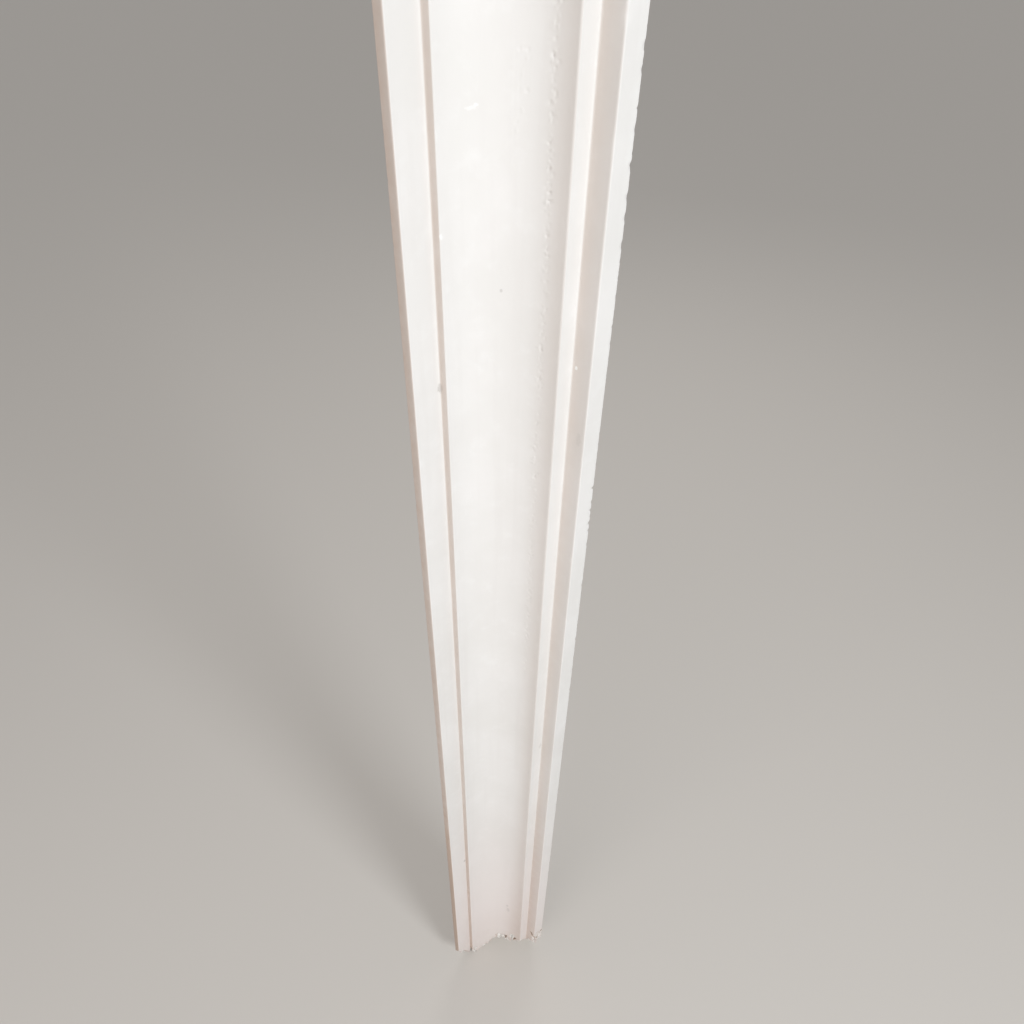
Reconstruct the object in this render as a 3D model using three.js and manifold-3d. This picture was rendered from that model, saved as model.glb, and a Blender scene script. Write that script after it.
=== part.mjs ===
// A length of cast plaster cove cornice, in millimetres, stood on end with its foot broken.
// +Z runs along the length. When the piece is fixed, +X leads out of the wall into the room
// and +Y leads up to the ceiling. The origin is the middle of the strip that beds on the wall.

import * as THREE from 'three';
import { ImprovedNoise } from 'three/addons/math/ImprovedNoise.js';
import { mergeVertices } from 'three/addons/utils/BufferGeometryUtils.js';
import Module from 'manifold-3d';

// Length from the square top to the longest point of the foot
const LENGTH = 1000;

// Face of the section, in order from the lower edge to the ceiling
const LOWER_EDGE = 6; // thickness of the lower edge, out from the wall
const LOWER_FILLET = 17.5; // flat band above the lower edge
const STEP_OUT = 5; // step from that band out to the cove
const COVE_RADIUS = 39; // quarter-round hollow
const COVE_FACETS = 30;
const UPPER_FILLET = 11; // flat band above the cove
const SOFFIT = 12; // flat underside of the top member
const FASCIA = 13.5; // upright face of the top member
const ARRIS_SOFTENING = 0.8; // how far each outer arris is worn round
const CORNER_FILLING = 1.2; // how far plaster fills each inner corner
const SOFTENING_FACETS = 3;

// Back of the section: a strip on the wall, a 45 degree splay, then a strip on the ceiling
const WALL_STRIP = 43;

// Broken foot. Each figure is the length lost, measured level with the lower back arris.
// The break slants, so what stands nearer the room has lost more.
const BREAK_SLOPE = 1.7; // length lost for each millimetre towards the room
const BREAK_AT_EDGE = 29;
const BREAK_AT_TOE = 14; // the lowest tooth, at the start of the cove
const BREAK_AT_COVE = 47; // from the middle of the cove to the ceiling
const TOE_WIDTH = 4; // how far the toe runs into the cove
const RISE_WIDTH = 24; // how far the break takes to rise from the toe
const BREAK_CELL = 2.5; // spacing of the points on the broken surface
const BREAK_LUMPS = [
  { size: 9, height: 3 },
  { size: 4, height: 1.6 },
];
const CLEARANCE = 4; // how far the lost block stands clear of the section
const BLOCK_DEPTH_BELOW = 80;

// Nicks along the arris where the fascia meets the ceiling, by stretch of the length
const NICKED_STRETCHES = [
  { from: 380, to: 475, count: 9 },
  { from: 205, to: 250, count: 5 },
  { from: -440, to: 195, count: 11 },
];
const NICK_DEPTH = { least: 0.7, most: 1.4 };
const NICK_LENGTH = { least: 4, most: 13 };
const GOLDEN_SHARE = 0.618034;

// One larger chip on the arris between soffit and fascia, near the top
const CHIP_HEIGHT_ON_RUN = 481;
const CHIP_DEPTH = 1.8;
const CHIP_LENGTH = 8;

const PLASTER_COLOUR = 0xf2eee8;
const PLASTER_ROUGHNESS = 0.75;

// Named levels and corners of the section
const bottom = -WALL_STRIP / 2;
const filletTop = bottom + LOWER_FILLET;
const coveStart = new THREE.Vector2(LOWER_EDGE + STEP_OUT, filletTop);
const coveEnd = new THREE.Vector2(coveStart.x + COVE_RADIUS, coveStart.y + COVE_RADIUS);
const soffitLevel = coveEnd.y + UPPER_FILLET;
const projection = coveEnd.x + SOFFIT;
const ceiling = soffitLevel + FASCIA;
const wallStripTop = bottom + WALL_STRIP;
const ceilingStripBack = ceiling - wallStripTop; // the splay rises as far as it leads out

// The corner at (x, y), turned by a small curve that starts and ends softening away from it
function softCorner(x, y, directionIn, directionOut, softening) {
  const corner = new THREE.Vector2(x, y);
  const start = corner.clone().addScaledVector(directionIn, -softening);
  const end = corner.clone().addScaledVector(directionOut, softening);
  return new THREE.QuadraticBezierCurve(start, corner, end).getPoints(SOFTENING_FACETS);
}

function coveArc() {
  const arc = new THREE.ArcCurve(coveEnd.x, coveStart.y, COVE_RADIUS, Math.PI, Math.PI / 2, true);
  return arc.getPoints(COVE_FACETS).slice(1, -1);
}

function sectionShape() {
  const out = new THREE.Vector2(1, 0);
  const up = new THREE.Vector2(0, 1);
  return new THREE.Shape([
    new THREE.Vector2(0, bottom),
    ...softCorner(LOWER_EDGE, bottom, out, up, ARRIS_SOFTENING),
    ...softCorner(LOWER_EDGE, filletTop, up, out, CORNER_FILLING),
    ...softCorner(coveStart.x, coveStart.y, out, up, ARRIS_SOFTENING),
    ...coveArc(),
    ...softCorner(coveEnd.x, coveEnd.y, out, up, ARRIS_SOFTENING),
    ...softCorner(coveEnd.x, soffitLevel, up, out, CORNER_FILLING),
    ...softCorner(projection, soffitLevel, out, up, ARRIS_SOFTENING),
    new THREE.Vector2(projection, ceiling),
    new THREE.Vector2(ceilingStripBack, ceiling),
    new THREE.Vector2(0, wallStripTop),
  ]);
}

function wholeRun() {
  const run = new THREE.ExtrudeGeometry(sectionShape(), { depth: LENGTH, bevelEnabled: false });
  run.translate(0, 0, -LENGTH / 2);
  return run;
}

// Places on the section as seen square to its 45 degree back: across the face, and towards the room,
// both from the lower back arris
const acrossAxis = new THREE.Vector3(1, 1, 0).normalize();
const forwardAxis = new THREE.Vector3(1, -1, 0).normalize();
const lengthAxis = new THREE.Vector3(0, 0, 1);

function acrossFace(x, y) {
  return (x + y - bottom) / Math.SQRT2;
}

function towardsRoom(x, y) {
  return (x - y + bottom) / Math.SQRT2;
}

const toeStart = acrossFace(coveStart.x, coveStart.y);
const toeEnd = toeStart + TOE_WIDTH;
const riseEnd = toeEnd + RISE_WIDTH;
const faceWidth = acrossFace(projection, ceiling);
const foremost = towardsRoom(LOWER_EDGE, bottom);
const hindmost = towardsRoom(0, wallStripTop);

const noise = new ImprovedNoise();

function breakHeight(across, forward) {
  const towardsToe = THREE.MathUtils.clamp(across / toeStart, 0, 1);
  const upFromToe = THREE.MathUtils.smoothstep(across, toeEnd, riseEnd);
  const toToe = THREE.MathUtils.lerp(BREAK_AT_EDGE, BREAK_AT_TOE, towardsToe);
  let height = THREE.MathUtils.lerp(toToe, BREAK_AT_COVE, upFromToe) + BREAK_SLOPE * forward;
  for (const lump of BREAK_LUMPS) {
    height += lump.height * noise.noise(across / lump.size, forward / lump.size, 0);
  }
  return height;
}

// The plaster that has gone from the foot: a block whose upper face is the rough surface of the break
function lostFoot() {
  const span = faceWidth + 2 * CLEARANCE;
  const depth = foremost - hindmost + 2 * CLEARANCE;
  const cellsAcross = Math.round(span / BREAK_CELL);
  const cellsDeep = Math.round(depth / BREAK_CELL);
  const block = new THREE.BoxGeometry(span, BLOCK_DEPTH_BELOW, depth, cellsAcross, 1, cellsDeep);
  block.translate(faceWidth / 2, -BLOCK_DEPTH_BELOW / 2, (foremost + hindmost) / 2);
  const points = block.attributes.position;
  for (let index = 0; index < points.count; index += 1) {
    const onUpperFace = points.getY(index) > -BLOCK_DEPTH_BELOW / 2;
    if (onUpperFace) {
      points.setY(index, breakHeight(points.getX(index), points.getZ(index)));
    }
  }
  const placing = new THREE.Matrix4().makeBasis(acrossAxis, lengthAxis, forwardAxis);
  placing.setPosition(0, bottom, -LENGTH / 2);
  return block.applyMatrix4(placing);
}

// A chip out of an arris that runs along the length: deepest in the middle, tapering to both ends
function arrisChip(x, y, z, depth, length, turn) {
  const chip = new THREE.OctahedronGeometry(1);
  chip.scale(depth, depth, length / 2);
  chip.rotateZ(turn);
  return chip.translate(x, y, z);
}

// Evenly spread figures from 0 to 1 that look irregular, a different run of them for each purpose
function scatter(index, purpose) {
  return ((index + 1) * (purpose + 1) * GOLDEN_SHARE) % 1;
}

function ceilingNicks() {
  const nicks = [];
  for (const stretch of NICKED_STRETCHES) {
    for (let index = 0; index < stretch.count; index += 1) {
      const place = THREE.MathUtils.lerp(stretch.from, stretch.to, scatter(index, 0));
      const depth = THREE.MathUtils.lerp(NICK_DEPTH.least, NICK_DEPTH.most, scatter(index, 1));
      const length = THREE.MathUtils.lerp(NICK_LENGTH.least, NICK_LENGTH.most, scatter(index, 2));
      nicks.push(arrisChip(projection, ceiling, place, depth, length, scatter(index, 3)));
    }
  }
  return nicks;
}

const wasm = await Module();
wasm.setup();

function toSolid(geometry) {
  geometry.deleteAttribute('normal');
  geometry.deleteAttribute('uv');
  const welded = mergeVertices(geometry);
  const mesh = new wasm.Mesh({
    numProp: 3,
    vertProperties: new Float32Array(welded.attributes.position.array),
    triVerts: new Uint32Array(welded.index.array),
  });
  return new wasm.Manifold(mesh);
}

function toGeometry(solid) {
  const mesh = solid.getMesh();
  const geometry = new THREE.BufferGeometry();
  geometry.setAttribute('position', new THREE.BufferAttribute(new Float32Array(mesh.vertProperties), 3));
  geometry.setIndex(new THREE.BufferAttribute(new Uint32Array(mesh.triVerts), 1));
  geometry.computeVertexNormals();
  return geometry;
}

function brokenRun() {
  const soffitChip = arrisChip(projection, soffitLevel, CHIP_HEIGHT_ON_RUN, CHIP_DEPTH, CHIP_LENGTH, 0);
  let run = toSolid(wholeRun());
  for (const lost of [lostFoot(), soffitChip, ...ceilingNicks()]) {
    run = run.subtract(toSolid(lost));
  }
  return toGeometry(run);
}

const plaster = new THREE.MeshStandardMaterial({
  color: PLASTER_COLOUR,
  roughness: PLASTER_ROUGHNESS,
  metalness: 0,
});

const coveMoulding = new THREE.Mesh(brokenRun(), plaster);
coveMoulding.name = 'cove_moulding';

const part = new THREE.Group();
part.add(coveMoulding);

export default part;
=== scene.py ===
# Plaster cove cornice: one cast length, stood on end, with a broken foot

import math
import random

import bmesh
import bpy
from mathutils import Matrix, Vector, geometry, noise


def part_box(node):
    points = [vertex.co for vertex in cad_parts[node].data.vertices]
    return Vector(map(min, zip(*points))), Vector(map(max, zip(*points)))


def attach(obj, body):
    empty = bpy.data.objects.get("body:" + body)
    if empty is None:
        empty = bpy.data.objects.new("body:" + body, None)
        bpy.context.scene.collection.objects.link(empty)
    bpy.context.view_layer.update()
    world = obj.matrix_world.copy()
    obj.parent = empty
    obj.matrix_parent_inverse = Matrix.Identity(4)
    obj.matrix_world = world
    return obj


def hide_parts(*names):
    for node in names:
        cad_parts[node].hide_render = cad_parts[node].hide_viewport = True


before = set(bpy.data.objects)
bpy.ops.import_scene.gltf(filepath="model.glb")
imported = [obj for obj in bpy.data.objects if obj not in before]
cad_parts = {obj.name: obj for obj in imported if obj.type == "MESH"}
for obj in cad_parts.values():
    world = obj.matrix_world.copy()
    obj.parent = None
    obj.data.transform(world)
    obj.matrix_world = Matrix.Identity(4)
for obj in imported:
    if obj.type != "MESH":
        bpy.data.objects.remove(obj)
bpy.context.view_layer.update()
node_low, node_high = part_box("cove_moulding")

MM = 0.001

# Directions: along the length, across the face beside the 45 degree back, and square from it towards the room
UP = Vector((0, 0, 1))
ACROSS_AXIS = Vector((1, 1, 0)).normalized()
ROOM_AXIS = Vector((1, -1, 0)).normalized()

# Levels of the solid: out from the wall, up to the ceiling, and along the length
WALL = node_low.x
PROJECTION = node_high.x
BOTTOM = node_low.y
CEILING = node_high.y
FOOT = node_low.z
TOP = node_high.z

# Face of the section, in order from the lower edge to the ceiling
LOWER_EDGE = 6 * MM
LOWER_FILLET = 17.5 * MM
STEP_OUT = 5 * MM
COVE_RADIUS = 39 * MM
UPPER_FILLET = 11 * MM
SOFFIT = 12 * MM
FASCIA = 13.5 * MM

# Back of the section: a strip on the wall, a 45 degree splay, a strip on the ceiling
WALL_STRIP = 43 * MM
SPLAY_RISE = CEILING - BOTTOM - WALL_STRIP
CEILING_STRIP = PROJECTION - WALL - SPLAY_RISE

# How round the plaster's edges are
ARRIS_RADIUS = 0.8 * MM
CORNER_RADIUS = 1.2 * MM
RAGGED_RADIUS = 0.4 * MM
BACK_RADIUS = 1.5 * MM

# Named lines of the section
FILLET_TOP = BOTTOM + LOWER_FILLET
COVE_START = Vector((WALL + LOWER_EDGE + STEP_OUT, FILLET_TOP))
COVE_CENTRE = COVE_START + Vector((COVE_RADIUS, 0))
COVE_END = COVE_CENTRE + Vector((0, COVE_RADIUS))
SOFFIT_LEVEL = COVE_END.y + UPPER_FILLET
WALL_ARRIS = Vector((WALL, BOTTOM))
LOWER_ARRIS = Vector((WALL + LOWER_EDGE, BOTTOM))
SOFFIT_ARRIS = Vector((PROJECTION, SOFFIT_LEVEL))
CEILING_ARRIS = Vector((PROJECTION, CEILING))

# Spacing of the mesh
FACE_CELL = 2.4 * MM  # columns of the moulded face
BACK_CELL = 4.5 * MM  # columns of the back
MARGIN = 0.4 * MM  # narrow column at each end of a flat
COVE_FACETS = 30
COVE_MARGIN = 0.01  # share of the cove's turn in the narrow column at each end
CORNER_FACETS = 3
ROW = 2.4 * MM
FOOT_ROW = 1.3 * MM  # rows within reach of the break
FOOT_REACH = 80 * MM
FINE_FOOT = 20 * MM  # stretch above the foot with the closest rows
BREAK_CELL = 1.3 * MM  # cells of the broken end
SAW_CELL = 1.6 * MM  # cells of the sawn end
WIDE_COLUMN = 1.5 * MM  # columns wider than this are cut narrower near the break
RAGGED_REACH = 1.5 * MM  # rows are cut closer as far as this from a ragged arris
PIT_REACH = 3  # cells are cut smaller as far as this from a line of pits, in spreads
PIT_CUTS = 3
RAGGED_CUTS = 2
FACE_COLUMN_CUTS = 2
BACK_COLUMN_CUTS = 3
FINE_FOOT_CUTS = 2

# Tests of place and direction
HAIR = 0.01 * MM  # a point nearer than this to an end lies on it
MOST_LEAN = 0.15  # sideways share of an edge that still runs along the length
FLAT = 0.9  # lengthwise part of a normal on an end, at least
ROOMWARD = 0.5  # how much more a normal of the face points out of the wall than up
BACKWARD = 0.9  # how much more a normal of the back points up than out of the wall
SPLAYED = 0.9  # part of a normal square to the splay, at least
DOWNWARD = -0.7  # part of a normal towards the ceiling on an underside, at most
SHARP_ANGLE = math.radians(42)  # edges that turn by more look sharp

# Slices of the noise, one for each irregular figure, so that no two are alike
JAG_SLICE = 11
SPALL_SLICE = 31
WAVER_SLICE = 3
CRUMBLE_SLICE = 7
SAW_SLICE = 17
ARRIS_SPREAD = 900  # sets the noise of the arrises apart

# Broken foot: length lost level with the lower back arris, and more towards the room
BREAK_SLOPE = 1.7
BREAK_AT_EDGE = 29 * MM
BREAK_AT_TOE = 14 * MM
BREAK_AT_COVE = 47 * MM
TOE_WIDTH = 4 * MM
RISE_WIDTH = 24 * MM

# Lumps of the break: size and height
BREAK_LUMPS = ((9 * MM, 3 * MM), (4 * MM, 2.2 * MM), (1.7 * MM, 2 * MM))

# Teeth and notches of the break: place across the face, half width, length lost there besides
BREAK_TEETH = (
    (4 * MM, 3 * MM, 4 * MM),
    (18 * MM, 2 * MM, 10 * MM),
    (23 * MM, 3 * MM, -5 * MM),
    (54 * MM, 6 * MM, 4 * MM),
    (64 * MM, 3 * MM, -6 * MM),
    (86 * MM, 4 * MM, 3 * MM),
    (92 * MM, 3 * MM, -5 * MM),
)

# Jags of the skin along the rim of the break: width and height, and the height where they have died out
RIM_JAGS = ((6 * MM, 9 * MM), (2.4 * MM, 6.5 * MM))
JAG_REACH = 45 * MM

# Scoops flaked out of the skin above the break: place across the face and above the foot,
# half width, half height, depth and how clean the hollow is
SCOOPS = (
    ((52.5 * MM, 27 * MM), 4.5 * MM, 6 * MM, 3.2 * MM, 1.0),
    ((58 * MM, 25 * MM), 2.5 * MM, 7 * MM, 2.2 * MM, 0.5),
    ((62 * MM, 22 * MM), 2 * MM, 5 * MM, 2.6 * MM, 0.6),
    ((67 * MM, 36 * MM), 3.6 * MM, 7 * MM, 3.2 * MM, 1.0),
    ((93 * MM, 48 * MM), 4.5 * MM, 12 * MM, 2.4 * MM, 0.55),
    ((98 * MM, 44 * MM), 3 * MM, 9 * MM, 1.8 * MM, 0.65),
    ((22 * MM, 9 * MM), 3 * MM, 5 * MM, 1.4 * MM, 0.8),
)
SCOOP_RAGGEDNESS = 0.5  # how far the outline wanders, as a share of the scoop's size
SCOOP_TATTER = 2 * MM  # size of the tatters in that outline
SCOOP_DUST = 0.3
SCOOP_RIM = 1.15  # outer edge of the dusty rim, as a share of the scoop's size
SCOOP_RIM_DUST = 0.5
CRUMB = 1.2 * MM  # size of the crumbs in broken skin
CRUMB_HEIGHT = 0.5 * MM

# Spalls of the skin's thin edge along the rim
SPALL_HEIGHT = 9 * MM
SPALL_LENGTH = 6 * MM
SPALL_DEPTH = 0.9 * MM
SPALL_TATTER = 3 * MM

# Cracks beside the flakes, with painted shadow in them: start and end as places across the face and above the
# foot, and half width
CRACKS = (
    ((88 * MM, 60.5 * MM), (93.5 * MM, 41.5 * MM), 1.3 * MM),
    ((100.5 * MM, 54 * MM), (96 * MM, 42 * MM), 1.3 * MM),
    ((60 * MM, 31 * MM), (58.5 * MM, 20.5 * MM), 0.75 * MM),
    ((71 * MM, 38 * MM), (68 * MM, 29 * MM), 0.75 * MM),
    ((17.5 * MM, 18 * MM), (18.5 * MM, 13.5 * MM), 0.9 * MM),
)
CRACK_DEPTH = 0.6 * MM
CRACK_EDGE = 0.5  # share of the half width over which the painted shadow thins out

# Amounts of dust and painted shade: where the brown covers the plaster, and in the middle of a crack, where
# it is dark painted shadow
FULL_BROWN = 1.0
CRACK_SHADOW = 2.0

# Nicks along the ceiling arris, by stretch of the length: from, to, how many, and how their depth is scaled
NICKED_STRETCHES = (
    (380 * MM, 475 * MM, 9, 0.9),
    (205 * MM, 250 * MM, 5, 1.5),
    (-440 * MM, 195 * MM, 11, 0.8),
)
NICK_DEPTH = (0.7 * MM, 1.4 * MM)
NICK_LENGTH = (4 * MM, 13 * MM)
BITE_SHARE = 0.55  # share of a nick's length that is bitten out
GOLDEN_SHARE = 0.618034

# Small chips along the other arrises: how many on each, and the least and most depth and length
CHIPS_ON_ARRIS = 16
CHIP_DEPTH = (0.5 * MM, 1.0 * MM)
CHIP_LENGTH = (4 * MM, 9 * MM)
CHIP_SEED = 7

# One larger chip on the arris between soffit and fascia: place on the run, depth and length
SOFFIT_CHIP = (481 * MM, 1.8 * MM, 8 * MM)

# Ragged edge all along an arris: how far back it goes
WORN_RAGGEDNESS = 0.15 * MM
CEILING_RAGGEDNESS = 0.6 * MM
WALL_RAGGEDNESS = 0.5 * MM

# What makes an edge ragged: its mean, long wavers and short crumbles, each with a length and a share
RAGGED_MEAN = 0.3
WAVER_LENGTH = 4 * MM
WAVER_SHARE = 0.5
CRUMBLE_LENGTH = 1.8 * MM
CRUMBLE_SHARE = 1.1
CHIP_CRUMBLE = 0.6  # how far the crumbles vary the depth of a chip

# Small pits and crumbs in the cove: a line of them, and one patch near the top.
# Middle and spread round the cove, stretch of the length, how many
PITTED = (
    (math.radians(74.5), math.radians(1.4), (40 * MM, 494 * MM), 640),
    (math.radians(55), math.radians(2.5), (434 * MM, 468 * MM), 16),
)
PIT_RADIUS = (0.45 * MM, 1.1 * MM)
PIT_STEEPNESS = (-0.2, 0.13)  # depth of a pit and height of a crumb, as shares of its radius
PIT_CROWDING = 0.7  # below 1 the pits crowd towards the top of their stretch
PIT_CLUSTER = 9 * MM  # length over which pits draw together
PIT_SHIFT = 4 * MM  # how far they are drawn
PIT_STRAY = 2.0  # how far a pit may stray from the middle, in spreads
PIT_SEED = 21

# Unevenness of the cast surfaces: waves to the metre across and along, and height
FACE_WAVES = (18, 9, 0.18 * MM)
BACK_LUMPS = (60, 35, 1.6 * MM)
BACK_RIDGES = (130, 8, 1.4 * MM)

# Coarse back: drag marks to the metre across and along, then how fresh and how dusty it is,
# each with what a mark adds to that
BACK_DRAG = (70, 12)
BACK_FRESH = (0.45, 0.3)
BACK_DUST = (0.16, -0.2)

# Sawn top: depth of the marks, width and length of a stroke, size of the grit, and how fresh the cut looks
SAW_MARK = 0.35 * MM
SAW_STROKE = (3 * MM, 40 * MM)
SAW_GRIT = 2 * MM
SAW_FRESHNESS = 0.7

# Faces that look down, given painted shade with some dust: level in the section, inner corner, how strongly,
# and how much more at the foot
SHADED_DUSTY_FACES = (
    (BOTTOM, WALL, 0.58, 0.55),
    (FILLET_TOP, WALL + LOWER_EDGE, 0.42, 0.2),
    (SOFFIT_LEVEL, COVE_END.x, 0.3, 0.12),
)
OPEN_SHADE_AND_DUST = 0.6  # share of a face's painted shade and dust that lies all over it
CORNER_SHADE_AND_DUST = 0.7  # share of painted shade and dust that its inner corner holds besides

# Darkening towards the foot: how high it starts, and over what height it comes to its full strength
FACE_DARKER_TO_FOOT = (450 * MM, 250 * MM)
COVE_DARKER_TO_FOOT = (250 * MM, 250 * MM)

# Painted shade and dust at the cove's end, where it turns to face down: angles where it starts and is full,
# and strength.
# The start and the strength change from high up the run to the foot
COVE_SHADE_START = (math.radians(62), math.radians(48))
COVE_SHADE_FULL = math.radians(88)
COVE_SHADE_AND_DUST = (0.21, 0.41)

# Dirt along the rim of the break: height, size of its patches, and how much there is on average
RIM_DIRT = 7 * MM
RIM_DIRT_PATCH = 4 * MM
RIM_DUST = 0.3


def across_face(out, up):
    """Distance across the face from the lower back arris, seen square to the 45 degree back."""
    return (out - WALL + up - BOTTOM) / math.sqrt(2)


def towards_room(out, up):
    """Distance towards the room from the lower back arris, square to the 45 degree back."""
    return (out - WALL - up + BOTTOM) / math.sqrt(2)


def smooth_step(value, low, high):
    share = min(max((value - low) / (high - low), 0.0), 1.0)
    return share * share * (3 - 2 * share)


def blend(low, high, share):
    return low + (high - low) * share


def uneven(x, y, z=0.0):
    """A smooth irregular figure between about -1 and 1."""
    return noise.noise(Vector((x, y, z)))


def waves(point, across, along, height=1.0):
    """Irregular waves over the surface, by how many there are to the metre."""
    return height * uneven(point.x * across, point.y * across, point.z * along)


class Template:
    """Traces the section as a running template is cut: one point dragged straight or round a turn."""

    def __init__(self, mesh, start, heading):
        self.mesh = mesh
        self.tip = bmesh.ops.create_vert(mesh, co=start)["vert"][0]
        self.start = self.tip
        self.heading = Vector(heading)

    def drag(self, length):
        dragged = bmesh.ops.extrude_vert_indiv(self.mesh, verts=[self.tip])
        self.tip = dragged["verts"][0]
        bmesh.ops.translate(self.mesh, vec=self.heading * length, verts=[self.tip])

    def straight(self, length, cell=FACE_CELL):
        """Goes straight on, with a narrow column at each end that keeps the flat crisp."""
        middle = length - 2 * MARGIN
        cells = max(1, round(middle / cell))
        self.drag(MARGIN)
        for _ in range(cells):
            self.drag(middle / cells)
        self.drag(MARGIN)

    def turn(self, radius, angle, facets=CORNER_FACETS):
        """Turns left by a positive angle and right by a negative one."""
        sideways = UP.cross(self.heading) * math.copysign(radius, angle)
        swung = bmesh.ops.spin(
            self.mesh,
            geom=[self.tip],
            cent=self.tip.co + sideways,
            axis=UP,
            angle=angle,
            steps=facets,
            use_merge=False,
        )
        self.tip = [item for item in swung["geom_last"] if isinstance(item, bmesh.types.BMVert)][0]
        self.heading.rotate(Matrix.Rotation(angle, 3, "Z"))

    def close(self):
        bmesh.ops.weld_verts(self.mesh, targetmap={self.tip: self.start})


def trace_section(mesh):
    """Draws the outline of the section at the foot, anticlockwise from the lower edge."""
    left = math.pi / 2
    right = -left
    half_left = math.pi / 4
    back_tangent = BACK_RADIUS * math.tan(half_left / 2)
    template = Template(mesh, (WALL + RAGGED_RADIUS, BOTTOM, FOOT), (1, 0, 0))
    template.straight(LOWER_EDGE - RAGGED_RADIUS - ARRIS_RADIUS)
    template.turn(ARRIS_RADIUS, left)
    template.straight(LOWER_FILLET - ARRIS_RADIUS - CORNER_RADIUS)
    template.turn(CORNER_RADIUS, right)
    template.straight(STEP_OUT - CORNER_RADIUS - ARRIS_RADIUS)
    template.turn(ARRIS_RADIUS, left)
    for share, facets in ((COVE_MARGIN, 1), (1 - 2 * COVE_MARGIN, COVE_FACETS), (COVE_MARGIN, 1)):
        template.turn(COVE_RADIUS - ARRIS_RADIUS, right * share, facets)
    template.turn(ARRIS_RADIUS, left)
    template.straight(UPPER_FILLET - ARRIS_RADIUS - CORNER_RADIUS)
    template.turn(CORNER_RADIUS, right)
    template.straight(SOFFIT - CORNER_RADIUS - ARRIS_RADIUS)
    template.turn(ARRIS_RADIUS, left)
    template.straight(FASCIA - ARRIS_RADIUS - RAGGED_RADIUS)
    template.turn(RAGGED_RADIUS, left)
    template.straight(CEILING_STRIP - RAGGED_RADIUS - back_tangent, BACK_CELL)
    template.turn(BACK_RADIUS, half_left)
    template.straight(SPLAY_RISE * math.sqrt(2) - 2 * back_tangent, BACK_CELL)
    template.turn(BACK_RADIUS, half_left)
    template.straight(WALL_STRIP - back_tangent - RAGGED_RADIUS, BACK_CELL)
    template.turn(RAGGED_RADIUS, left)
    template.close()


def sweep(mesh, edges, rise, row):
    """Runs the outline straight up by rise, and returns the edges at the new end."""
    rows = round(rise / row)
    run = bmesh.ops.spin(
        mesh,
        geom=edges,
        cent=(0, 0, 0),
        axis=UP,
        dvec=UP * (rise / rows),
        angle=0,
        steps=rows,
        use_merge=False,
    )
    return [item for item in run["geom_last"] if isinstance(item, bmesh.types.BMEdge)]


def cast_run(mesh):
    """The whole run with square ends."""
    trace_section(mesh)
    above_foot = sweep(mesh, mesh.edges[:], FOOT_REACH, FOOT_ROW)
    sweep(mesh, above_foot, TOP - FOOT - FOOT_REACH, ROW)
    open_edges = [edge for edge in mesh.edges if edge.is_boundary]
    bmesh.ops.holes_fill(mesh, edges=open_edges, sides=0)
    bmesh.ops.recalc_face_normals(mesh, faces=mesh.faces)


def cove_angle(point):
    """Angle round the cove, from nothing at its start to a right angle at its end."""
    return math.atan2(point.y - COVE_CENTRE.y, COVE_CENTRE.x - point.x)


def in_cove(point):
    offset = Vector((point.x, point.y)) - COVE_CENTRE
    return abs(offset.length - COVE_RADIUS) < ARRIS_RADIUS and 0 < cove_angle(point) < math.pi / 2


def column_width(face):
    """Length of the face's longest edge across the section."""
    return max((edge.verts[0].co.xy - edge.verts[1].co.xy).length for edge in face.edges)


def faces_room(normal):
    """True on the moulded face, false on the back."""
    return normal.x - normal.y > ROOMWARD


def runs_up(edge):
    """Tells the edges along the length from those across the section."""
    start, end = edge.verts
    return (start.co.xy - end.co.xy).length < abs(start.co.z - end.co.z) * MOST_LEAN


def divide(mesh, faces, cuts, only=""):
    """Cuts the faces finer, or only into more "rows" or more "columns"."""
    edges = list(dict.fromkeys(edge for face in faces for edge in face.edges))
    if only:
        edges = [edge for edge in edges if runs_up(edge) == (only == "rows")]
    bmesh.ops.subdivide_edges(mesh, edges=edges, cuts=cuts, use_grid_fill=not only)


def refine_pitted(mesh):
    """Cuts smaller cells where the cove is pitted."""
    pitted = []
    for face in mesh.faces:
        centre = face.calc_center_median()
        if not in_cove(centre):
            continue
        angle = cove_angle(centre)
        for middle, spread, (low, high), _ in PITTED:
            if abs(angle - middle) < PIT_REACH * spread and low < centre.z < high:
                pitted.append(face)
    divide(mesh, pitted, PIT_CUTS)


def refine_ragged_arrises(mesh):
    """Cuts closer rows along the two arrises that are nicked all along."""
    strip = []
    for face in mesh.faces:
        centre = face.calc_center_median()
        if len(face.verts) > 4 or centre.z < FOOT + FOOT_REACH:
            continue
        if any((centre.xy - arris).length < RAGGED_REACH for arris in (CEILING_ARRIS, WALL_ARRIS)):
            strip.append(face)
    divide(mesh, strip, RAGGED_CUTS, only="rows")


def refine_foot(mesh):
    """Cuts the foot into narrow columns as far up as the break's jags reach, and its face into low rows."""
    jagged = []
    for face in mesh.faces:
        above = face.calc_center_median().z - FOOT
        if HAIR < above < JAG_REACH and column_width(face) > WIDE_COLUMN:
            jagged.append(face)
    front = [face for face in jagged if faces_room(face.normal)]
    back = [face for face in jagged if not faces_room(face.normal)]
    divide(mesh, front, FACE_COLUMN_CUTS, only="columns")
    divide(mesh, back, BACK_COLUMN_CUTS, only="columns")
    lowest = []
    for face in mesh.faces:
        above = face.calc_center_median().z - FOOT
        if HAIR < above < FINE_FOOT and faces_room(face.normal):
            lowest.append(face)
    divide(mesh, lowest, FINE_FOOT_CUTS, only="rows")


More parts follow.
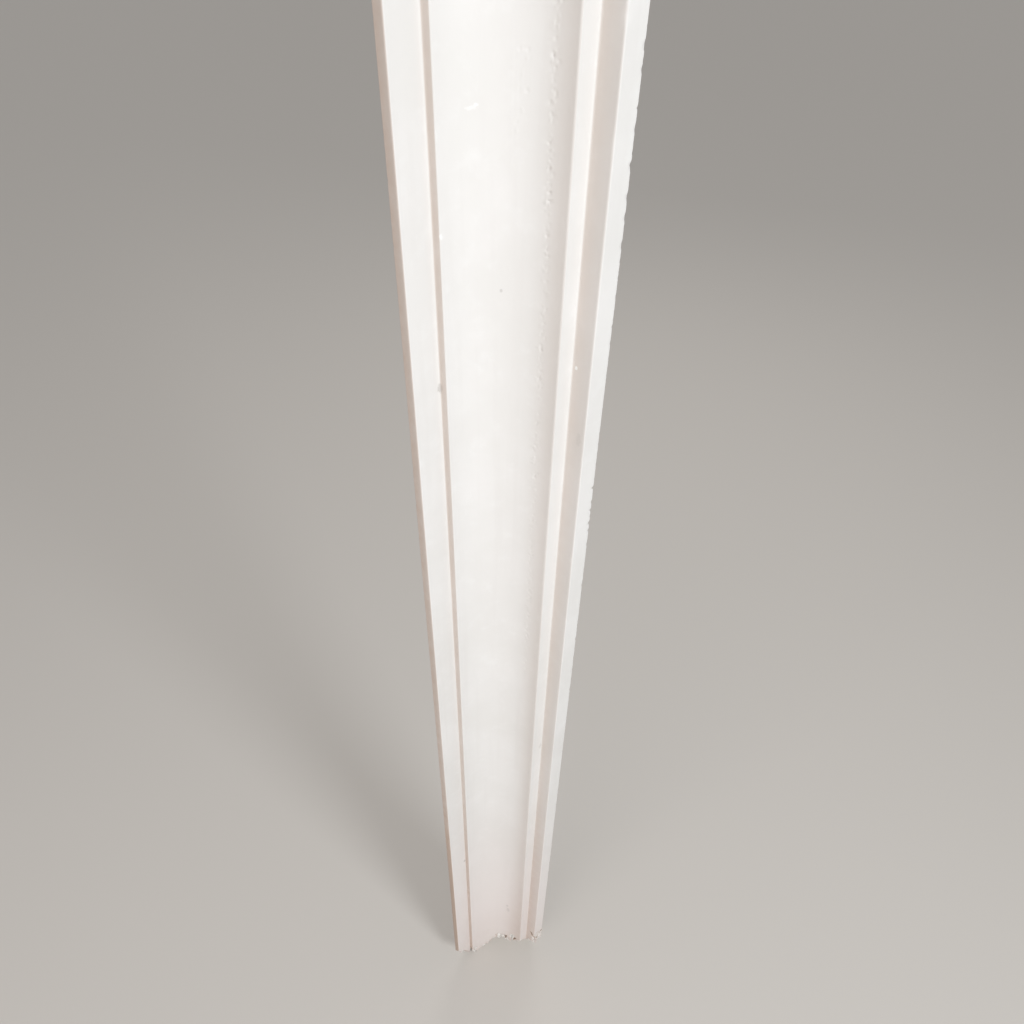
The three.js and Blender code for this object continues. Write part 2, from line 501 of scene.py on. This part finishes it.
def grid_end(mesh, facing, cell):
    """Cuts one square end into small cells, so that its surface can be rough."""
    corner = Vector((WALL, BOTTOM, FOOT))
    cap = [face for face in mesh.faces if face.normal.dot(facing) > FLAT]
    rim = dict.fromkeys(vert for face in cap for vert in face.verts)
    edges = dict.fromkeys(edge for face in cap for edge in face.edges)
    pieces = cap + list(edges) + list(rim)
    hindmost = towards_room(WALL, BOTTOM + WALL_STRIP)
    foremost = towards_room(WALL + LOWER_EDGE, BOTTOM)
    cells_across = int(across_face(PROJECTION, CEILING) / cell)
    cells_deep = int((foremost - hindmost) / cell)
    cuts = [(ACROSS_AXIS, cell * index) for index in range(1, cells_across)]
    cuts += [(ROOM_AXIS, hindmost + cell * index) for index in range(1, cells_deep)]
    for axis, distance in cuts:
        place = corner + axis * distance
        pieces = bmesh.ops.bisect_plane(mesh, geom=pieces, plane_co=place, plane_no=axis)["geom"]
    added = {}
    for vert in pieces:
        if not isinstance(vert, bmesh.types.BMVert) or vert in rim:
            continue
        if any(abs(face.normal.z) < FLAT for face in vert.link_faces):
            added[vert] = min(rim, key=lambda kept: (kept.co - vert.co).length)
    bmesh.ops.weld_verts(mesh, targetmap=added)


def saw_top(mesh, fresh):
    """Leaves the marks of a hand saw on the square top."""
    width, length = SAW_STROKE
    for vert in mesh.verts:
        if TOP - vert.co.z < HAIR:
            stroke = uneven(vert.co.x / width, vert.co.y / length, SAW_SLICE)
            grit = noise.noise(vert.co / SAW_GRIT)
            vert.co.z -= SAW_MARK * (1 + stroke + abs(grit)) / 2
            vert[fresh] = SAW_FRESHNESS


def broad_break(across, forward):
    """Length lost along the broad slant of the break."""
    toe_start = across_face(*COVE_START)
    toe_end = toe_start + TOE_WIDTH
    towards_toe = min(max(across / toe_start, 0.0), 1.0)
    up_from_toe = smooth_step(across, toe_end, toe_end + RISE_WIDTH)
    height = blend(blend(BREAK_AT_EDGE, BREAK_AT_TOE, towards_toe), BREAK_AT_COVE, up_from_toe)
    return max(height + BREAK_SLOPE * forward, 0.0)


def break_lumps(across, forward):
    """Length lost besides at the lumps, teeth and notches of the break."""
    change = 0.0
    for size, lump in BREAK_LUMPS:
        change += lump * uneven(across / size, forward / size)
    for place, half_width, tooth in BREAK_TEETH:
        change += tooth * max(0.0, 1 - abs(across - place) / half_width)
    return change


def rim_jags(across):
    """Length lost besides along the skin, where the break ends in small jags."""
    return sum(jag * uneven(across / width, JAG_SLICE) for width, jag in RIM_JAGS)


def measure_break(mesh, lost, jag):
    """Notes at each point of the foot what is lost along the broad slant, and how the jags change that."""
    for vert in mesh.verts:
        if vert.co.z > FOOT + FOOT_REACH:
            continue
        across = across_face(vert.co.x, vert.co.y)
        forward = towards_room(vert.co.x, vert.co.y)
        rough = break_lumps(across, forward)
        on_the_skin = any(face.normal.z > -FLAT for face in vert.link_faces)
        if on_the_skin:
            rough += rim_jags(across)
        vert[lost] = broad_break(across, forward)
        vert[jag] = max(rough, -vert[lost])


def break_foot(mesh, lost, jag, fresh, dust_and_shade):
    """Draws the lowest part of the run up to the broken surface, and marks what is freshly broken."""
    for vert in mesh.verts:
        above = vert.co.z - FOOT
        if above > FOOT_REACH:
            continue
        if above < HAIR and vert[lost] + vert[jag] > 0:
            vert[fresh] = 1.0
        elif above < RIM_DIRT:
            patch = RIM_DUST + noise.noise(Vector((vert.co.x, vert.co.y, above)) / RIM_DIRT_PATCH)
            vert[dust_and_shade] = max(vert[dust_and_shade], patch * (1 - above / RIM_DIRT))
        drawn_up = vert[lost] * (1 - above / FOOT_REACH)
        vert.co.z += drawn_up + vert[jag] * max(0.0, 1 - above / JAG_REACH)


def from_crack(place, start, end, half_width):
    """Distance from a crack on the skin, as a share of its half width."""
    start, end = Vector(start), Vector(end)
    share = geometry.intersect_point_line(place, start, end)[1]
    return (place - start.lerp(end, min(max(share, 0.0), 1.0))).length / half_width


def from_scoop(place, middle, half_width, half_height):
    """Distance from the middle of a scoop as a share of its size, with a ragged outline."""
    offset = place - Vector(middle)
    ragged = SCOOP_RAGGEDNESS * uneven(place.x / SCOOP_TATTER, place.y / SCOOP_TATTER)
    return math.hypot(offset.x / half_width, offset.y / half_height) + ragged


def on_skin(point):
    """Place on the skin above the break: across the face, and above the lowest point of the foot."""
    return Vector((across_face(point.x, point.y), point.z - FOOT))


def scoop_flakes(mesh, lost, jag, fresh, dust_and_shade):
    """Hollows the skin above the break: flaked scoops, the spalled edge and cracks with painted shadow in
    them.
    """
    mesh.normal_update()
    for vert in mesh.verts:
        if vert.co.z > FOOT + FOOT_REACH or vert[fresh] == 1.0 or not faces_room(vert.normal):
            continue
        place = on_skin(vert.co)
        crumb = noise.noise(vert.co / CRUMB)
        hollow = 0.0
        for middle, half_width, half_height, depth, clean in SCOOPS:
            away = from_scoop(place, middle, half_width, half_height)
            if away < 1:
                hollow = max(hollow, depth * (1 - max(away, 0.0) ** 2) + CRUMB_HEIGHT * crumb)
                vert[fresh] = clean
                vert[dust_and_shade] = max(vert[dust_and_shade], SCOOP_DUST)
            elif away < SCOOP_RIM:
                vert[dust_and_shade] = max(vert[dust_and_shade], SCOOP_RIM_DUST)
        spall = SPALL_HEIGHT * uneven(place.x / SPALL_LENGTH, SPALL_SLICE) + SPALL_TATTER * crumb
        if place.y - vert[lost] - vert[jag] < spall:
            hollow = max(hollow, SPALL_DEPTH * (1 + crumb))
            vert[fresh] = 1.0
        for crack in CRACKS:
            share = 1 - from_crack(place, *crack)
            if share > 0:
                hollow += CRACK_DEPTH * share
                vert[fresh] = 0.0
                # Painted shadow, darkest down the middle of the crack
                vert[dust_and_shade] = max(vert[dust_and_shade], CRACK_SHADOW * min(1.0, share / CRACK_EDGE))
        vert.co -= vert.normal * hollow


def scatter(index, purpose):
    """Evenly spread figures from 0 to 1 that look irregular."""
    return (index + 1) * (purpose + 1) * GOLDEN_SHARE % 1


def ceiling_nicks():
    """Place, depth and length of each nick along the ceiling arris."""
    nicks = []
    for low, high, count, share in NICKED_STRETCHES:
        for index in range(count):
            place = blend(low, high, scatter(index, 0))
            depth = blend(*NICK_DEPTH, scatter(index, 1)) * share
            length = blend(*NICK_LENGTH, scatter(index, 2)) * BITE_SHARE
            nicks.append((place, depth, length))
    return nicks


def small_chips(draw):
    """Place, depth and length of each small chip along one arris."""
    chips = []
    for _ in range(CHIPS_ON_ARRIS):
        place = draw.uniform(FOOT, TOP)
        depth = draw.uniform(*CHIP_DEPTH)
        length = draw.uniform(*CHIP_LENGTH)
        chips.append((place, depth, length))
    return chips


def chip_arris(mesh, corner, along_one, along_other, chips, raggedness):
    """Cuts an arris back by tapering chips and by a ragged edge all along."""
    reach = max([depth for _, depth, _ in chips] + [0.0]) + raggedness
    step_in = (along_one + along_other) / 2
    for vert in mesh.verts:
        offset = vert.co.xy - corner
        inwards = offset.dot(along_one) + offset.dot(along_other)
        sideways = abs(offset.dot(along_one) - offset.dot(along_other))
        if inwards > reach or sideways > reach:
            continue
        waver = uneven(corner.x * ARRIS_SPREAD, WAVER_SLICE, vert.co.z / WAVER_LENGTH)
        crumble = uneven(corner.y * ARRIS_SPREAD, CRUMBLE_SLICE, vert.co.z / CRUMBLE_LENGTH)
        cut = raggedness * (RAGGED_MEAN + WAVER_SHARE * waver + CRUMBLE_SHARE * crumble)
        for place, depth, length in chips:
            taper = 1 - abs(vert.co.z - place) / (length / 2)
            cut = max(cut, depth * (1 + CHIP_CRUMBLE * crumble) * taper)
        if cut > inwards:
            vert.co.xy += step_in * (cut - inwards)


def chip_arrises(mesh):
    """Chips the four arrises of the face here and there, and leaves those at wall and ceiling ragged."""
    out, up = Vector((1, 0)), Vector((0, 1))
    draw = random.Random(CHIP_SEED)
    for arris in (LOWER_ARRIS, COVE_START, COVE_END, SOFFIT_ARRIS):
        chips = small_chips(draw)
        if arris is SOFFIT_ARRIS:
            chips.append(SOFFIT_CHIP)
        chip_arris(mesh, arris, -out, up, chips, WORN_RAGGEDNESS)
    chip_arris(mesh, CEILING_ARRIS, -out, -up, ceiling_nicks(), CEILING_RAGGEDNESS)
    chip_arris(mesh, WALL_ARRIS, out, up, [], WALL_RAGGEDNESS)


def scattered_pits():
    """Place, angle round the cove, radius and depth of each pit; crumbs stand out instead."""
    draw = random.Random(PIT_SEED)
    pits = []
    for middle, spread, (low, high), count in PITTED:
        for _ in range(count):
            place = blend(low, high, draw.random() ** PIT_CROWDING)
            place += PIT_SHIFT * uneven(place / PIT_CLUSTER, middle)
            stray = max(-PIT_STRAY, min(PIT_STRAY, draw.gauss(0, 1)))
            radius = blend(*PIT_RADIUS, draw.random())
            pits.append((place, middle + stray * spread, radius, draw.choice(PIT_STEEPNESS) * radius))
    return pits


def pit_cove(mesh):
    """Sinks the pits into the cove and raises the crumbs on it."""
    pits = sorted(scattered_pits())
    widest = PIT_RADIUS[1]
    for vert in mesh.verts:
        if not in_cove(vert.co):
            continue
        angle = cove_angle(vert.co)
        near = [pit for pit in pits if abs(pit[0] - vert.co.z) < widest]
        outwards = Vector((COVE_CENTRE.x - vert.co.x, COVE_CENTRE.y - vert.co.y, 0)).normalized()
        for place, pit_angle, radius, rise in near:
            away = math.hypot(vert.co.z - place, (angle - pit_angle) * COVE_RADIUS) / radius
            if away < 1:
                vert.co += outwards * rise * (1 - away * away)


def settle_surface(mesh):
    """Gives the cast faces their slight waves and the back its rough lumps."""
    mesh.normal_update()
    for vert in mesh.verts:
        if min(vert.co.z - FOOT, TOP - vert.co.z) < HAIR:
            continue
        lift = waves(vert.co, *FACE_WAVES)
        if -vert.normal.dot(ROOM_AXIS) > SPLAYED:
            lift += waves(vert.co, *BACK_LUMPS) + waves(vert.co, *BACK_RIDGES)
        vert.co += vert.normal * lift
        vert.co.x = max(vert.co.x, WALL)
        vert.co.y = min(vert.co.y, CEILING)


def roughen_back(mesh, fresh, dust_and_shade):
    """Leaves the back coarse and a little dirty, as it comes off the bench."""
    mesh.normal_update()
    for vert in mesh.verts:
        if vert.normal.y - vert.normal.x > BACKWARD:
            drag = waves(vert.co, *BACK_DRAG)
            vert[fresh] = BACK_FRESH[0] + BACK_FRESH[1] * drag
            vert[dust_and_shade] = BACK_DUST[0] + BACK_DUST[1] * drag


def near_foot(point, start, rise):
    """Goes from 0 where the darkening starts above the foot to 1 where it has its full strength."""
    return smooth_step(FOOT + start - point.z, 0, rise)


def shade_and_dust_faces(mesh, dust_and_shade):
    """Marks painted shade with some dust: on the faces that look down, heaviest in their inner corners and
    towards the foot, and at the cove's end.
    """
    mesh.normal_update()
    for vert in mesh.verts:
        # Painted shade with some dust on the faces that look down, heavier near the listed corner and towards
        # the foot
        if vert.normal.y < DOWNWARD:
            for level, corner, strength, at_foot in SHADED_DUSTY_FACES:
                if abs(vert.co.y - level) < ARRIS_RADIUS:
                    depth = 1 - smooth_step(vert.co.x - corner, 0, SOFFIT)
                    darker_to_foot = at_foot * near_foot(vert.co, *FACE_DARKER_TO_FOOT)
                    vert[dust_and_shade] = strength * (OPEN_SHADE_AND_DUST + CORNER_SHADE_AND_DUST * depth) + darker_to_foot
        # Painted shade and dust at the cove's end, stronger and starting sooner towards the foot
        if in_cove(vert.co):
            low = near_foot(vert.co, *COVE_DARKER_TO_FOOT)
            hollow = smooth_step(cove_angle(vert.co), blend(*COVE_SHADE_START, low), COVE_SHADE_FULL)
            vert[dust_and_shade] = blend(*COVE_SHADE_AND_DUST, low) * hollow


def triangulate_many_sided(mesh):
    """Splits the faces with more than four corners, so that none is left to chance."""
    many_sided = [face for face in mesh.faces if len(face.verts) > 4]
    bmesh.ops.triangulate(mesh, faces=many_sided, quad_method="BEAUTY", ngon_method="BEAUTY")


def sharpen_breaks(mesh):
    """Shades the skin smooth and the broken edges sharp."""
    for face in mesh.faces:
        face.smooth = True
    for edge in mesh.edges:
        edge.smooth = len(edge.link_faces) != 2 or edge.calc_face_angle() < SHARP_ANGLE


def cove_moulding():
    """The cast run with all its wear. Each point carries how freshly broken it is, and how much dust and
    painted shade it has.
    """
    mesh = bmesh.new()
    fresh = mesh.verts.layers.float.new("fresh")
    # Dust, and shade painted on the faces that look down, on the cove's end and in the cracks
    dust_and_shade = mesh.verts.layers.float.new("dust_and_shade")
    lost = mesh.verts.layers.float.new("lost")
    jag = mesh.verts.layers.float.new("jag")
    cast_run(mesh)
    refine_pitted(mesh)
    refine_ragged_arrises(mesh)
    refine_foot(mesh)
    grid_end(mesh, -UP, BREAK_CELL)
    grid_end(mesh, UP, SAW_CELL)
    measure_break(mesh, lost, jag)
    shade_and_dust_faces(mesh, dust_and_shade)
    roughen_back(mesh, fresh, dust_and_shade)
    settle_surface(mesh)
    pit_cove(mesh)
    chip_arrises(mesh)
    saw_top(mesh, fresh)
    break_foot(mesh, lost, jag, fresh, dust_and_shade)
    scoop_flakes(mesh, lost, jag, fresh, dust_and_shade)
    triangulate_many_sided(mesh)
    sharpen_breaks(mesh)
    for measure in (jag, lost):
        mesh.verts.layers.float.remove(measure)
    data = bpy.data.meshes.new("plaster_cove_moulding")
    mesh.to_mesh(data)
    mesh.free()
    piece = bpy.data.objects.new("plaster_cove_moulding", data)
    bpy.context.scene.collection.objects.link(piece)
    return piece


class Wire:
    """A socket in a material; sums written on it add Math nodes."""

    def __init__(self, finish, socket):
        self.finish = finish
        self.socket = socket

    def maths(self, operation, *values):
        return self.finish.add("ShaderNodeMath", {"operation": operation}, dict(enumerate(values)))

    def __add__(self, other):
        return self.maths("ADD", self, other)

    __radd__ = __add__

    def __mul__(self, other):
        return self.maths("MULTIPLY", self, other)

    __rmul__ = __mul__


# Outline of a mark, in half sizes: how far it wavers, and the sums of distance and waver where it comes in
MARK_WAVER = 2
MARK_EDGE = (2.3, 1.6)


class Finish:
    """A material under construction."""

    def __init__(self, name):
        self.material = bpy.data.materials.new(name)
        self.material.use_nodes = True
        self.tree = self.material.node_tree
        self.tree.nodes.clear()

    def add(self, kind, settings=None, sockets=None, output=0):
        """Adds a node, with its settings and the values or links of its sockets, and returns one output."""
        node = self.tree.nodes.new(kind)
        for name, value in (settings or {}).items():
            setattr(node, name, value)
        by_name = {socket.identifier: socket for socket in node.inputs}
        for name, value in (sockets or {}).items():
            socket = node.inputs[name] if isinstance(name, int) else by_name[name]
            if isinstance(value, Wire):
                self.tree.links.new(value.socket, socket)
            else:
                socket.default_value = value
        return Wire(self, node.outputs[output]) if node.outputs else None

    def noise(self, place, scale, detail, roughness):
        sockets = {"Vector": place, "Scale": scale, "Detail": detail, "Roughness": roughness}
        return self.add("ShaderNodeTexNoise", None, sockets)

    def span(self, value, low, high):
        """Eases from 0 to 1 as the value goes from low to high."""
        settings = {"interpolation_type": "SMOOTHSTEP", "clamp": True}
        return self.add("ShaderNodeMapRange", settings, {"Value": value, "From Min": low, "From Max": high})

    def blot(self, place, waver, middle, half_size):
        """1 inside a spot with a wavering outline, 0 outside it; sizes in millimetres."""
        centre = [value * MM for value in middle]
        reach = [value * MM for value in half_size]
        away = self.add("ShaderNodeVectorMath", {"operation": "SUBTRACT"}, {0: place, 1: centre})
        shares = self.add("ShaderNodeVectorMath", {"operation": "DIVIDE"}, {0: away, 1: reach})
        distance = self.add("ShaderNodeVectorMath", {"operation": "LENGTH"}, {0: shares}, "Value")
        return self.span(distance + waver * MARK_WAVER, *MARK_EDGE)

    def mix(self, share, one, other):
        sockets = {"Factor_Float": share, "A_Color": one, "B_Color": other}
        return self.add("ShaderNodeMix", {"data_type": "RGBA"}, sockets, "Result")


def colour(red, green, blue):
    return (red, green, blue, 1.0)


# Colours of the plaster
CAST_SKIN = colour(0.80, 0.78, 0.755)
PALE_CLOUD = colour(0.84, 0.82, 0.80)
PALE_MOTTLE = colour(0.88, 0.87, 0.855)
DULL_STREAK = colour(0.77, 0.745, 0.72)
PINK_FOOT = colour(0.845, 0.77, 0.745)
# Brown for dust, and for shade painted on the faces that look down, the inner corners and the cove's end
BROWN_DUST_AND_SHADE = colour(0.565, 0.44, 0.36)
# Dark brown painted shadow: in the cracks, and a little on the lower edge near the foot
DARK_SHADOW_BROWN = colour(0.27, 0.19, 0.14)
BROKEN_HOLLOW = colour(0.79, 0.755, 0.71)
BROKEN_CRUMB = colour(0.95, 0.935, 0.91)
WHITE_PLASTER = colour(0.93, 0.925, 0.91)
GREY_SCUFF = colour(0.42, 0.39, 0.36)

# Patterns of the plaster: cells to the metre, detail and roughness of the noise
STREAKS = (160, 2, 0.5)
CLOUDS = (14, 4, 0.55)
MOTTLE = (90, 3, 0.6)
SCUFFS = (420, 3, 0.7)
CRUMBS = (900, 2, 0.6)
GRAIN = (700, 3, 0.6)
STREAK_SCALE = (1.0, 1.0, 0.04)  # draws the streaks out along the run

# Values of a pattern between which its colour comes in
CLOUD_EDGE = (0.35, 0.7)
MOTTLE_EDGE = (0.5, 0.8)
STREAK_EDGE = (0.5, 0.75)
STAIN_EDGE = (0.3, 0.65)
CRUMB_EDGE = (0.35, 0.7)

# Levels between which a colour comes in towards the foot
PINK_RISE = (FOOT + 420 * MM, FOOT + 60 * MM)
STAIN_RISE = (FOOT + 140 * MM, FOOT)

# How strongly each colour comes in
MOTTLE_STRENGTH = 0.35
STREAK_STRENGTH = 0.3
PINK_STRENGTH = 0.8
STAIN_STRENGTH = 0.2
EVEN_DUST_AND_SHADE = 0.7  # share of the dust and painted shade that is even
MOTTLED_DUST_AND_SHADE = 0.6  # share that follows the mottle

# Roughness and fine relief of the surface
SKIN_ROUGHNESS = 0.55
MOTTLE_ROUGHNESS = 0.2
BROKEN_ROUGHNESS = 0.25
GRAIN_RELIEF = 0.25
MOTTLE_RELIEF = 0.5
CRUMB_RELIEF = 3
RELIEF_STRENGTH = 0.25
RELIEF_HEIGHT = 0.4 * MM
PLASTER_IOR = 1.5

# Small marks: place and half size in the part's frame, in millimetres, then colour and strength
MARKS = (
    ((14.6, 12.3, 446.2), (2.4, 2.4, 0.9), WHITE_PLASTER, 0.5),
    ((15.6, 14.2, 447.2), (1.1, 1.1, 0.8), WHITE_PLASTER, 0.8),
    ((21.9, 23.0, 365.3), (0.7, 0.7, 1.0), GREY_SCUFF, 0.35),
    ((6.0, -4.4, 315.9), (1.2, 1.6, 3.0), GREY_SCUFF, 0.45),
    ((6.0, -5.3, -243.5), (1.0, 1.2, 2.5), GREY_SCUFF, 0.45),
    ((52.5, 46.0, 326.3), (0.9, 0.9, 1.2), WHITE_PLASTER, 0.9),
    ((58.0, 46.0, 283.6), (1.6, 1.0, 4.0), GREY_SCUFF, 0.15),
    ((50.0, 44.0, -35.1), (1.5, 1.5, 3.5), GREY_SCUFF, 0.2),
    ((33.1, 31.1, -388.9), (2.0, 2.0, 5.0), GREY_SCUFF, 0.25),
    ((32.2, 30.7, -378.2), (1.5, 1.5, 3.0), GREY_SCUFF, 0.25),
    ((11.0, -3.5, 396.5), (0.9, 0.9, 1.4), WHITE_PLASTER, 0.8),
)


def plaster_finish():
    finish = Finish("cast_plaster")
    place = finish.add("ShaderNodeTexCoord", output="Object")
    height = finish.add("ShaderNodeSeparateXYZ", None, {"Vector": place}, "Z")
    fresh = finish.add("ShaderNodeAttribute", {"attribute_name": "fresh"}, output="Fac")
    dust_and_shade = finish.add("ShaderNodeAttribute", {"attribute_name": "dust_and_shade"}, output="Fac")

    drawn_out = finish.add("ShaderNodeMapping", None, {"Vector": place, "Scale": STREAK_SCALE})
    streak = finish.noise(drawn_out, *STREAKS)
    cloud = finish.noise(place, *CLOUDS)
    mottle = finish.noise(place, *MOTTLE)
    skin = finish.mix(finish.span(cloud, *CLOUD_EDGE), CAST_SKIN, PALE_CLOUD)
    skin = finish.mix(finish.span(mottle, *MOTTLE_EDGE) * MOTTLE_STRENGTH, skin, PALE_MOTTLE)
    skin = finish.mix(finish.span(streak, *STREAK_EDGE) * STREAK_STRENGTH, skin, DULL_STREAK)

    skin = finish.mix(finish.span(height, *PINK_RISE) * PINK_STRENGTH, skin, PINK_FOOT)
    # Brown dust and painted shade from the marked points, and a patchy stain near the foot
    settled_dust_and_shade = dust_and_shade * (EVEN_DUST_AND_SHADE + mottle * MOTTLED_DUST_AND_SHADE)
    stain = finish.span(height, *STAIN_RISE) * finish.span(cloud, *STAIN_EDGE)
    skin = finish.mix(settled_dust_and_shade + stain * STAIN_STRENGTH, skin, BROWN_DUST_AND_SHADE)
    # Dark brown painted shadow in the cracks, and a little on the lower edge near the foot, where its painted
    # shade and dust run past full
    skin = finish.mix(finish.span(dust_and_shade, FULL_BROWN, CRACK_SHADOW), skin, DARK_SHADOW_BROWN)

    scuff = finish.noise(place, *SCUFFS)
    for middle, half_size, tint, strength in MARKS:
        skin = finish.mix(finish.blot(place, scuff, middle, half_size) * strength, skin, tint)

    crumb = finish.noise(place, *CRUMBS)
    broken = finish.mix(finish.span(crumb, *CRUMB_EDGE), BROKEN_HOLLOW, BROKEN_CRUMB)
    base = finish.mix(fresh, skin, broken)

    roughness = SKIN_ROUGHNESS + mottle * MOTTLE_ROUGHNESS + fresh * BROKEN_ROUGHNESS
    grain = finish.noise(place, *GRAIN)
    relief = grain * GRAIN_RELIEF + mottle * MOTTLE_RELIEF + crumb * fresh * CRUMB_RELIEF
    bump = {"Strength": RELIEF_STRENGTH, "Distance": RELIEF_HEIGHT, "Height": relief}
    normal = finish.add("ShaderNodeBump", None, bump)

    surface = {"Base Color": base, "Roughness": roughness, "Normal": normal, "IOR": PLASTER_IOR}
    shader = finish.add("ShaderNodeBsdfPrincipled", None, surface)
    finish.add("ShaderNodeOutputMaterial", None, {"Surface": shader})
    return finish.material


FLOOR_COLOUR = colour(0.62, 0.585, 0.545)
FLOOR_ROUGHNESS = 0.8
FLOOR_HALF_SIDE = 20


def floor_finish():
    finish = Finish("pale_floor")
    surface = {"Base Color": FLOOR_COLOUR, "Roughness": FLOOR_ROUGHNESS}
    shader = finish.add("ShaderNodeBsdfPrincipled", None, surface)
    finish.add("ShaderNodeOutputMaterial", None, {"Surface": shader})
    return finish.material


def pale_floor():
    mesh = bmesh.new()
    bmesh.ops.create_grid(mesh, x_segments=1, y_segments=1, size=FLOOR_HALF_SIDE)
    bmesh.ops.translate(mesh, vec=UP * FOOT, verts=mesh.verts)
    data = bpy.data.meshes.new("floor")
    mesh.to_mesh(data)
    mesh.free()
    floor = bpy.data.objects.new("floor", data)
    floor.data.materials.append(floor_finish())
    bpy.context.scene.collection.objects.link(floor)


# Camera, in the photograph's frame of 1024 by 1024 pixels
PICTURE_SIDE = 1024
FOCAL_LENGTH_PIXELS = 800
SENSOR_WIDTH_MM = 36
LENGTH_VANISHES_AT = Vector((491.7, 1357))
CAMERA_ACROSS = 42.5 * MM
CAMERA_FROM_FACE = 329.4 * MM
CAMERA_ABOVE_FOOT = 1048.9 * MM


def photo_camera():
    """Sets the camera by where the lines along the length meet, with the face level across the picture."""
    data = bpy.data.cameras.new("photo_camera")
    data.sensor_width = SENSOR_WIDTH_MM
    data.lens = FOCAL_LENGTH_PIXELS * SENSOR_WIDTH_MM / PICTURE_SIDE
    camera = bpy.data.objects.new("photo_camera", data)
    bpy.context.scene.collection.objects.link(camera)

    offset = LENGTH_VANISHES_AT - Vector((PICTURE_SIDE / 2, PICTURE_SIDE / 2))
    length_seen = Vector((offset.x, -offset.y, -FOCAL_LENGTH_PIXELS)).normalized()
    across_seen = Vector((-length_seen.z, 0, length_seen.x)).normalized()
    room_seen = across_seen.cross(-length_seen)
    seen = Matrix((across_seen, room_seen, length_seen)).transposed()
    real = Matrix((ACROSS_AXIS, ROOM_AXIS, -UP)).transposed()
    corner = Vector((WALL, BOTTOM, FOOT))
    place = corner + ACROSS_AXIS * CAMERA_ACROSS + ROOM_AXIS * CAMERA_FROM_FACE + UP * CAMERA_ABOVE_FOOT
    turn = real @ seen.inverted()
    camera.matrix_world = Matrix.Translation(place) @ turn.to_4x4()
    bpy.context.scene.camera = camera


# Lamps: name, turn to the right of the view, distance out and up from their aim, width, power, tint
LAMPS = (
    ("key", math.radians(40), 1.3, 0.75, 0.5, 12.5, (0.93, 0.97, 1.0)),
    ("fill", math.radians(-35), 1.5, 0.4, 1.2, 6.7, (1.0, 0.955, 0.94)),
    ("back", math.radians(165), 1.5, 0.9, 0.9, 4.0, (1.0, 0.98, 0.95)),
)
LAMP_AIM = Vector((0.03, 0.02, 0.1))
STUDIO_WHITE = colour(1.0, 1.0, 1.0)
STUDIO_BRIGHTNESS = 0.5


def soft_light(name, place, aim, size, power, tint):
    data = bpy.data.lights.new(name, "AREA")
    data.shape = "DISK"
    data.size = size
    data.energy = power
    data.color = tint
    lamp = bpy.data.objects.new(name, data)
    lamp.location = place
    lamp.rotation_euler = (aim - place).to_track_quat("-Z", "Y").to_euler()
    bpy.context.scene.collection.objects.link(lamp)


def studio_light():
    world = bpy.data.worlds.new("studio")
    world.use_nodes = True
    background = world.node_tree.nodes["Background"]
    background.inputs["Color"].default_value = STUDIO_WHITE
    background.inputs["Strength"].default_value = STUDIO_BRIGHTNESS
    bpy.context.scene.world = world
    for name, right_of_view, away, above, size, power, tint in LAMPS:
        way = ROOM_AXIS * math.cos(right_of_view) + ACROSS_AXIS * math.sin(right_of_view)
        soft_light(name, LAMP_AIM + way * away + UP * above, LAMP_AIM, size, power, tint)
    bpy.context.scene.view_settings.view_transform = "Standard"


photo_camera()
studio_light()
pale_floor()
moulding = cove_moulding()
moulding.data.materials.append(plaster_finish())
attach(moulding, "root")
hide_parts("cove_moulding")
